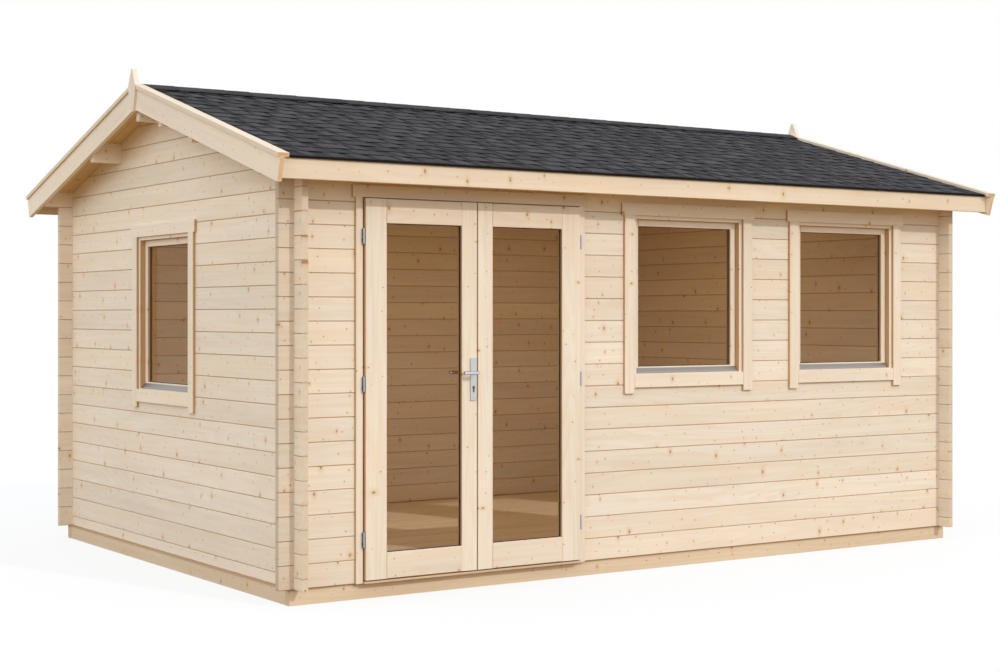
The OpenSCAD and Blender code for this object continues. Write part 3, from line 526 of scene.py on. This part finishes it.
def closed_sheets(top, low):
    """Closed sheets between an upper and a lower grid of points, both (count, rows, columns, 3).

    Returns points, faces and, for every face, 1 on the rim between the two grids and 0 elsewhere.
    The faces are turned over as a whole if the first sheet's signed volume is below zero.
    """
    count, rows, columns = top.shape[:3]
    grid = rows * columns
    points = np.concatenate([top.reshape(count, grid, 3), low.reshape(count, grid, 3)], axis=1)
    index = np.arange(grid).reshape(rows, columns)
    upper = np.stack([index[:-1, :-1], index[1:, :-1], index[1:, 1:], index[:-1, 1:]], -1).reshape(-1, 4)
    rim = np.concatenate([index[0, :], index[1:, -1], index[-1, -2::-1], index[-2:0:-1, 0]])
    after = np.roll(rim, -1)
    wall = np.stack([rim, after, after + grid, rim + grid], -1)
    faces = np.concatenate([upper, upper[:, ::-1] + grid, wall])
    a, b, c, d = (points[0][faces[:, k]] for k in range(4))
    volume = np.sum(a * (np.cross(b, c) + np.cross(c, d))) / 6
    if volume < 0:
        faces = faces[:, ::-1]
    every = (faces[None] + (np.arange(count) * 2 * grid)[:, None, None]).reshape(-1, 4)
    edge = np.tile(np.r_[np.zeros(2 * len(upper)), np.ones(len(wall))], count)
    return points, every, edge


def on_slope(side, across, down, above):
    """A point on a roof slope: across is X, down runs from the ridge, above stands off the boards."""
    y = down * math.cos(PITCH) + above * math.sin(PITCH)
    z = BOARD_TOP_AT_RIDGE - down * math.sin(PITCH) + above * math.cos(PITCH)
    across, y, z = np.broadcast_arrays(across, side * y, z)
    return np.stack([across, y, z], -1)


def board_edges(start, end, count, bevel):
    """Boards side by side from start to end: the places of each one's edges and bevels, and their drops."""
    width = (end - start) / count
    edges = np.array([BOARD_GAP, BOARD_GAP + bevel, width - BOARD_GAP - bevel, width - BOARD_GAP])
    places = (start + width * np.arange(count))[:, None] + edges
    return places[:, :, None], np.array([bevel, 0, 0, bevel])[None, :, None]


def roof_boards(side):
    """Boards from ridge to eaves: in X each is a strip, its underside bevelled towards both edges."""
    x, lift = board_edges(-ROOF_HALF_LENGTH, ROOF_HALF_LENGTH, ROOF_BOARDS, ROOF_BEVEL)
    down = np.array([RIDGE_GAP, BOARD_FOOT_Y / math.cos(PITCH) - FOOT_GAP])[None, None, :]
    top = on_slope(side, x, down, np.zeros(1))
    low = on_slope(side, x, down, lift - ROOF_BOARD_T)
    points, faces, _ = closed_sheets(top, low)
    return points, faces, np.repeat(draw.random(ROOF_BOARDS), len(faces) // ROOF_BOARDS)


def floor_boards():
    """Boards along X: in Y each is a strip, its upper face bevelled towards both edges."""
    low_corner, high_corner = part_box("floor_deck")
    y, drop = board_edges(low_corner[Y], high_corner[Y], FLOOR_BOARDS, FLOOR_BEVEL)
    x = np.array([low_corner[X], high_corner[X]])[None, None, :]
    top = np.stack(np.broadcast_arrays(x, y, high_corner[Z] - drop), -1)
    low = np.stack(np.broadcast_arrays(x, y, low_corner[Z] + 0 * drop), -1)
    points, faces, _ = closed_sheets(top, low)
    return points, faces, np.repeat(draw.random(FLOOR_BOARDS), len(faces) // FLOOR_BOARDS)


def slope_sheets(side, x_low, x_high, top_end, butt, thick, narrow):
    """Shingle sheets on a slope. Each is a grid of 4 by 3: across between its two edges, down to its butt.

    The sheet rises evenly from the underlay to its butt, its lower corners draw in by narrow, and
    its butt wavers by a few millimetres. All values but side are arrays with one entry to a sheet.
    """
    count = len(x_low)
    u = np.linspace(0, 1, 4)[None, :, None]
    v = np.array([0, 0.6, 1])[None, None, :]
    waver = np.zeros((count, 4, 3))
    waver[:, :, 2] = draw.normal(0, BUTT_WAVER, (count, 4))
    a, b, s0, s1, t, k = (q[:, None, None] for q in (x_low, x_high, top_end, butt, thick, narrow))
    x = a + k * v + (b - a - 2 * k * v) * u
    down = s0 + (s1 - s0) * v + waver
    rise = UNDERLAY_T + BUTT_RISE * v + TAB_CAMBER * np.sin(math.pi * u) * v
    return on_slope(side, x, down, rise + t), on_slope(side, x, down, rise)


def shingle_cover(side):
    """One slope's cover: in every course strips a metre long, and on them teeth of mixed widths."""
    slope = EAVES_Y / math.cos(PITCH) - COVER_BACK
    face = slope / COURSES
    rows = {k: [] for k in ("x_low", "x_high", "top_end", "butt", "thick", "narrow", "tone")}

    def sheet(**values):
        for key, value in values.items():
            rows[key].append(value)

    edge = COVER_HALF_LENGTH - COVER_IN
    for course in range(COURSES):
        butt = slope - face * (COURSES - 1 - course)
        head = max(butt - face - COURSE_LAP, COVER_BACK)
        cuts = np.arange(-edge - draw.uniform(0.1, 0.9), edge, STRIP_LENGTH)
        cuts = np.r_[-edge, cuts[cuts > -edge + STRIP_MIN], edge]
        for low, high in zip(cuts[:-1], cuts[1:]):
            sheet(x_low=low + STRIP_GAP, x_high=high - STRIP_GAP, top_end=head, butt=butt, thick=STRIP_T,
                  narrow=0.0, tone=draw.uniform(0.15, 0.40))
        at = -edge - draw.uniform(0, 0.2)
        while at < edge - 0.05:
            width = draw.choice(TOOTH_WIDTHS) * draw.uniform(0.9, 1.1)
            low, high = max(at, -edge), min(at + width, edge)
            if high - low > TOOTH_MIN:
                sheet(x_low=low, x_high=high, top_end=head, butt=butt + draw.uniform(-0.002, 0.003),
                      thick=TOOTH_T, narrow=draw.uniform(0.004, 0.014), tone=draw.uniform(0.45, 1.0))
            at += width + draw.choice(TOOTH_GAPS) * draw.uniform(0.8, 1.2)
    values = {k: np.array(v) for k, v in rows.items()}
    tone = values.pop("tone")
    at_eaves = values["butt"] > slope - 0.02
    points, faces, cut = closed_sheets(*slope_sheets(side, **values))
    #     The rim runs down one side, along the butt, up the other side and back along the covered head. The
    #     butts' black is bare asphalt and painted shade under each tab, less at the eaves
    rim = np.repeat([SIDE_CUT, BUTT_CUT_AND_SHADE, SIDE_CUT, 0], [2, 3, 2, 3])
    cut.reshape(len(tone), -1)[:, -len(rim):] = rim * np.where(at_eaves, EAVES_CUT, 1.0)[:, None]
    return points, faces, {"tone": np.repeat(tone, len(faces) // len(tone)), "cut": cut}


def under_cover(side):
    """Underlay and starter strip: two flat slabs on the slope, the strip a little past the boards' foot."""
    foot = (BOARD_FOOT_Y - BOARD_GAP) / math.cos(PITCH) - UNDERLAY_BACK
    drip = EAVES_Y / math.cos(PITCH) - STARTER_BACK
    reach = np.array([-1, 1])[:, None]
    slabs = []
    for half, head, end, low, high in (
            (ROOF_HALF_LENGTH, RIDGE_GAP, foot, BOARD_GAP, UNDERLAY_T),
            (COVER_HALF_LENGTH, foot - STARTER_W, drip, UNDERLAY_T - STARTER_SUNK,
             UNDERLAY_T + STARTER_PROUD)):
        down = np.array([head, end])[None, :]
        slabs.append([on_slope(side, half * reach, down, np.full((1, 1), h)) for h in (high, low)])
    top, low = (np.stack([slab[k] for slab in slabs]) for k in (0, 1))
    points, faces, _ = closed_sheets(top, low)
    return points, faces, {"tone": np.full(len(faces), 0.12), "cut": np.full(len(faces), 0.2)}


def ridge_cover():
    """Ridge shingles that overlap along X: a softened gable line across, lower and thinner to its edges."""
    step = 2 * COVER_HALF_LENGTH / RIDGE_COUNT
    start = -COVER_HALF_LENGTH + step * np.arange(RIDGE_COUNT)
    length = np.minimum(step + RIDGE_LAP, COVER_HALF_LENGTH - start)
    u = np.linspace(-1, 1, 13)[None, :, None]
    v = np.array([0, 1])[None, None, :]
    x = start[:, None, None] + length[:, None, None] * v
    s = RIDGE_HALF * u
    soft = np.sqrt(s * s + RIDGE_FOLD ** 2) - RIDGE_FOLD * 0.35
    uneven = RIDGE_UNEVEN * draw.normal(0, 1, (RIDGE_COUNT, 1, 1))
    lift = RIDGE_LIFT + RIDGE_LEAN * v + uneven - RIDGE_FALL * u * u
    y = s * math.cos(PITCH)
    z = BOARD_TOP_AT_RIDGE - soft * math.sin(PITCH) + lift
    thick = RIDGE_T - RIDGE_THIN * u * u
    top = np.stack(np.broadcast_arrays(x, y, z), -1)
    low = np.stack(np.broadcast_arrays(x, y, z - thick), -1)
    points, faces, cut = closed_sheets(top, low)
    tone = np.repeat(draw.uniform(0.3, 0.85, RIDGE_COUNT), len(faces) // RIDGE_COUNT)
    return points, faces, {"tone": tone, "cut": 0.45 * cut}


def frame_loops(centres, half_w, foot, head, outward, along, width, thick):
    """Mitred rectangular strips round panes: a small profile carried round the four corners.

    centres are the middles of the glass faces, along is each face's level direction and outward its
    facing; the profile is width wide towards the pane's middle and thick off the glass.
    """
    end = np.array([-1, 1, 1, -1])[None, :, None]
    at_foot = np.array([True, True, False, False])[None, :, None]
    inset = np.array([0, width, width * 0.75, 0])
    off = np.array([0, 0, thick, thick])
    half_w, foot, head = (q[:, None, None] for q in (half_w, foot, head))
    centres, outward, along = (q[:, None, None, :] for q in (centres, outward, along))
    points = centres + along * (end * (half_w - inset))[..., None] + outward * off[:, None]
    points[..., Z] = np.where(at_foot, foot + inset, head - inset)
    i = np.arange(4)
    corner, lip = np.meshgrid(i, i, indexing="ij")
    next_corner, next_lip = (corner + 1) % 4, (lip + 1) % 4
    faces = np.stack([corner * 4 + lip, next_corner * 4 + lip, next_corner * 4 + next_lip,
                      corner * 4 + next_lip], -1).reshape(-1, 4)
    every = (faces[None] + (np.arange(len(points)) * 16)[:, None, None]).reshape(-1, 4)
    return points.reshape(-1, 3), every


def key_cylinder(x, z, y_face, y_back):
    """Lock cylinder: a round plug over a narrower leg, an outline carried through the plates."""
    turn = np.linspace(math.radians(-52), math.radians(232), 36)
    plug = np.stack([KEY_R * np.cos(turn), KEY_R * np.sin(turn)], -1)
    outline = np.r_[plug, [[-KEY_LEG_HALF, -KEY_FOOT], [KEY_LEG_HALF, -KEY_FOOT]]]
    n = len(outline)
    rows = np.stack([np.c_[x + outline[:, 0], np.full(n, y), z + outline[:, 1]] for y in (y_face, y_back)])
    i = np.arange(n)
    sides = np.stack([i, np.roll(i, -1), np.roll(i, -1) + n, i + n], -1)
    return rows.reshape(-1, 3), [*sides, i[::-1], i + n]


def screw_heads(spots, facing):
    """Pan-head screws: a dome over radius and turn, sunk where the cross slot runs."""
    ring = np.r_[0.04, np.linspace(0.2, 1, 8)]
    turn = np.linspace(0, 2 * math.pi, 32, endpoint=False)
    rho, phi = np.meshgrid(ring, turn, indexing="ij")
    px, pz = SCREW_R * rho * np.cos(phi), SCREW_R * rho * np.sin(phi)
    sunk = (np.minimum(abs(px), abs(pz)) < SCREW_SLOT_HALF) & (rho < 0.62)
    rise = SCREW_TALL * np.sqrt(np.clip(1 - 0.86 * rho ** 2, 0, 1)) - SCREW_SLOT_DEEP * sunk
    rise[-1] = 0
    x, y, z = (np.array(q)[:, None, None] for q in zip(*spots))
    points = np.stack(np.broadcast_arrays(x + px, y + np.array(facing)[:, None, None] * rise, z + pz), -1)
    count, rings, steps = points.shape[:3]
    index = np.arange(rings * steps).reshape(rings, steps)
    nxt = np.roll(index, -1, axis=1)
    quads = np.stack([index[:-1], index[1:], nxt[1:], nxt[:-1]], -1).reshape(-1, 4)
    faces = [f + k * rings * steps for k in range(count) for f in (*quads, index[0], index[-1][::-1])]
    return points.reshape(-1, 3), faces


# Finishes of the CAD nodes
FINISHES = {
    spruce("front_log_spruce", "along_x", seed=3.0, foot=FRONT_FOOT, end=X): (
        "front_wall_right_logs", "front_wall_over_door_log", "eaves_logs"),
    spruce("front_left_log_spruce", "along_x", seed=71.0, foot=FRONT_FOOT, end=X, tail=LEFT_WALL_X): (
        "front_wall_left_logs",),
    spruce("back_log_spruce", "along_x", seed=131.0, foot=FRONT_FOOT, end=X): ("back_wall_logs",),
    spruce("left_gable_log_spruce", "along_y", seed=211.0, foot=GABLE_FOOT, end=Y): ("left_gable_logs",),
    spruce("right_gable_log_spruce", "along_y", seed=281.0, foot=GABLE_FOOT, end=Y): ("right_gable_logs",),
    spruce("purlin_spruce", "along_x", seed=331.0, end=X): (
        "ridge_purlin", "side_purlins", "front_upper_purlin"),
    spruce("fascia_spruce", "along_x", seed=343.0, knots=0.8, tint=FASCIA_TINT, end=X): (
        "front_fascia", "back_fascia"),
    # Base rails: a band of painted shadow at their top, and darker tints as painted shade under the wall
    spruce("base_spruce", "along_x", seed=353.0, foot=FRONT_FOOT, joint_shade=BASE_SHADOW_REACH, tint=LONG_BASE_SHADE_TINT,
           end=X): ("long_base_rails",),
    spruce("short_base_spruce", "along_y", seed=359.0, foot=FRONT_FOOT, joint_shade=BASE_SHADOW_REACH, tint=SHORT_BASE_SHADE_TINT,
           end=Y): ("short_base_rails", "floor_joists"),
    spruce("barge_spruce", "slope", seed=367.0, knots=0.8, end=Y, end_tint=TAN_END): (
        "left_barge_boards", "right_barge_boards"),
    spruce("barge_cap_spruce", "slope_flat", seed=373.0, knots=0.5, tint=CAP_SHADE_TINT, end=Y,
           end_tint=TAN_END): ("left_barge_caps", "right_barge_caps"),
    spruce("finial_spruce", "upright", seed=379.0, knots=0.5, end=Z): ("left_finial", "right_finial"),
    spruce("upright_spruce", "upright", seed=383.0, knots=0.6, tint=JOINERY_TINT, end=Z, painted_side_shade=True): (
        "door_jambs", "door_side_boards", "left_door_stiles", "right_door_stiles",
        "window_side_boards", "window_jambs", "sash_stiles"),
    spruce("stop_spruce", "upright", seed=385.0, knots=0.4): ("door_stops", "door_head"),
    spruce("level_spruce", "level", seed=389.0, knots=0.7, painted_side_shade=True): (
        "window_cross_boards", "window_heads_and_sills", "sash_rails"),
    spruce("door_rail_spruce", "along_x", seed=397.0, knots=0.8, tint=JOINERY_TINT, painted_side_shade=True): (
        "door_lintel_board", "left_door_rails", "right_door_rails"),
    spruce("threshold_spruce", "along_x", seed=399.0, knots=0.4, tint=THRESHOLD_SHADE_TINT): ("door_threshold",),
    pane_finish(): ("window_glass", "left_door_glass", "right_door_glass"),
    metal_finish("satin_aluminium", SATIN_METAL, 0.28, LEVEL_BRUSH, 0.00004): ("door_plates",),
    metal_finish("polished_aluminium", LEVER_METAL, 0.16, LEVEL_BRUSH, 0.00004, side_shade_factor=0.30): ("door_lever",),
    metal_finish("drip_aluminium", DRIP_METAL, 0.30, LEVEL_BRUSH, 0.00004): ("window_drip_rails",),
    metal_finish("plated_steel", HINGE_METAL, 0.18, ROUND_BRUSH, 0.00005, side_shade_factor=0.08): (
        "frame_knuckles", "left_door_knuckles", "right_door_knuckles"),
}
for finish, names in FINISHES.items():
    for node in names:
        mesh = nodes[node].data
        mesh.materials.clear()
        mesh.materials.append(finish)

# Roof boards and floor boards
soffit = spruce("roof_board_spruce", "slope_flat", seed=401.0, lot="board", tint=SOFFIT_SHADE_TINT)
for side, word in ((-1, "front"), (1, "back")):
    points, faces, board = roof_boards(side)
    lay(word + "_roof_strips", "cabin", points, faces, soffit,
        (word + "_roof_boards",), {"board": board})
points, faces, board = floor_boards()
lay("floor_strips", "cabin", points, faces,
    spruce("floor_spruce", "flat_x", seed=409.0, lot="board", tint=FLOOR_TINT),
    ("floor_deck",), {"board": board})

# Shingles
granules = granule_finish()
for side, word in ((-1, "front"), (1, "back")):
    points, faces, marks = shingle_cover(side)
    lay(word + "_shingle_tabs", "cabin", points, faces, granules,
        (word + "_shingles",), marks)
    points, faces, marks = under_cover(side)
    lay(word + "_underlay", "cabin", points, faces, granules, (), marks)
points, faces, marks = ridge_cover()
lay("ridge_shingles", "cabin", points, faces, granules, ("ridge_cap",), marks)

# Glazing seals on both faces of every pane
rubber = rubber_finish()


def points_of(node):
    """Points of a CAD node at rest."""
    return np.array([v.co for v in nodes[node].data.vertices])


def seals(name, body, panes):
    """Seal strips round panes, each given by its points: on the outer face and then the inner face."""
    low, high = (np.array([end(pane, axis=0) for pane in panes]) for end in (np.min, np.max))
    thin = np.argmin((high - low)[:, :Z], axis=1)
    facing, along = -np.eye(3)[thin], np.eye(3)[1 - thin]
    to_face, half = (np.sum((high - low) * abs(way), axis=1) / 2 for way in (facing, along))
    middle = (low + high) / 2
    centres = np.r_[middle + facing * to_face[:, None], middle - facing * to_face[:, None]]
    half, foot, head, along = (np.r_[q, q] for q in (
        half - GLASS_HIDDEN, low[:, Z] + GLASS_HIDDEN, high[:, Z] - GLASS_HIDDEN, along))
    points, faces = frame_loops(centres, half, foot, head, np.r_[facing, -facing], along, SEAL_W, SEAL_T)
    turn_faces_out(lay(name, body, points, faces, rubber))


glass = points_of("window_glass")
in_front = glass[:, Y] < FRONT_ZONE
at_left = glass[:, X] < glass[in_front, X].mean()
seals("window_seals", "cabin", [glass[in_front & at_left], glass[in_front & ~at_left], glass[~in_front]])
for leaf in ("left_door", "right_door"):
    seals(leaf + "_seals", leaf, [points_of(leaf + "_glass")])

# Lock cylinder and the screws of the handle plates
plate_low, plate_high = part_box("door_plates")
plate_x = (plate_low[X] + plate_high[X]) / 2
points, faces = key_cylinder(plate_x, plate_low[Z] + KEY_UP,
                             plate_low[Y] + KEY_SUNK, plate_high[Y] - KEY_SUNK)
turn_faces_out(lay("lock_cylinder", "left_door", points, faces, dark_finish()))
spots = [(plate_x, y, z) for y in (plate_low[Y], plate_high[Y])
         for z in (plate_low[Z] + SCREW_IN, plate_high[Z] - SCREW_IN)]
points, faces = screw_heads(spots, facing=(-1, -1, 1, 1))
screw_steel = metal_finish("screw_steel", SATIN_METAL, 0.28, SCREW_BRUSH, 0.00003)
turn_faces_out(lay("plate_screws", "left_door", points, faces, screw_steel))


def white_rays(w):
    """1 for rays that show the background: from the camera, by gloss or through glass."""
    ray = w.put("ShaderNodeLightPath").outputs
    return w.larger(w.larger(ray["Is Camera Ray"], ray["Is Glossy Ray"]), ray["Is Transmission Ray"])


def pale_floor():
    """A wide pale floor that shows nearly white and keeps the cabin's shadow."""
    corners = FLOOR_HALF * np.array([(-1, -1), (1, -1), (1, 1), (-1, 1)])
    mesh = bpy.data.meshes.new("floor")
    mesh.from_pydata(np.c_[corners, np.full(4, FLOOR_Z)].tolist(), [], [(0, 1, 2, 3)])
    material, w, shader = new_material("pale_floor")
    bounce = w.put("ShaderNodeLightPath").outputs["Is Diffuse Ray"]
    w.feed(shader.inputs["Base Color"], w.blend(bounce, FLOOR_SEEN, FLOOR_BOUNCE))
    shader.inputs["Roughness"].default_value = 1.0
    shader.inputs["Specular IOR Level"].default_value = 0.0
    glow = w.put("ShaderNodeEmission", {"Color": WHITE, "Strength": 1.0})
    show(w, material, w.times(white_rays(w), FLOOR_GLOW), shader, glow)
    mesh.materials.append(material)
    floor = bpy.data.objects.new("floor", mesh)
    bpy.context.scene.collection.objects.link(floor)


def lamp(name, kind, settings):
    """A lamp of that kind with those settings."""
    light = bpy.data.lights.new(name, kind)
    for key, value in settings.items():
        setattr(light, key, value)
    thing = bpy.data.objects.new(name, light)
    bpy.context.scene.collection.objects.link(thing)
    return thing


def aim(source):
    """Turns that point a sun lamp from a direction at the cabin."""
    x, y, z = source
    return math.acos(z / math.hypot(x, y, z)), 0, math.atan2(y, x) + math.pi / 2


def studio_light():
    """An even surround, a key light from the front right, a wide fill from the left and a dim room lamp."""
    world = bpy.data.worlds.new("surround")
    world.use_nodes = True
    bpy.context.scene.world = world
    w = Wiring(world.node_tree)
    back = world.node_tree.nodes["Background"]
    w.feed(back.inputs["Color"], w.blend(white_rays(w), SURROUND_COLOUR, WHITE))
    back.inputs["Strength"].default_value = 1.0
    lamp("key", "SUN", KEY_LIGHT).rotation_euler = aim(KEY_FROM)
    lamp("fill", "SUN", FILL_LIGHT).rotation_euler = aim(FILL_FROM)
    room = lamp("room", "AREA", ROOM_LIGHT)
    room.location = ROOM_LIGHT_AT
    room.visible_camera = room.visible_glossy = room.visible_transmission = False


def photo_camera():
    """The camera stands level at the photo's place; the shift moves the horizon up in the picture."""
    lens = bpy.data.cameras.new("camera")
    for key, value in CAMERA_LENS.items():
        setattr(lens, key, value)
    camera = bpy.data.objects.new("camera", lens)
    camera.location = CAMERA_AT
    camera.rotation_euler = (math.pi / 2, 0, CAMERA_TURN)
    bpy.context.scene.collection.objects.link(camera)
    bpy.context.scene.camera = camera


pale_floor()
studio_light()
photo_camera()
bpy.context.scene.view_settings.view_transform = "Standard"
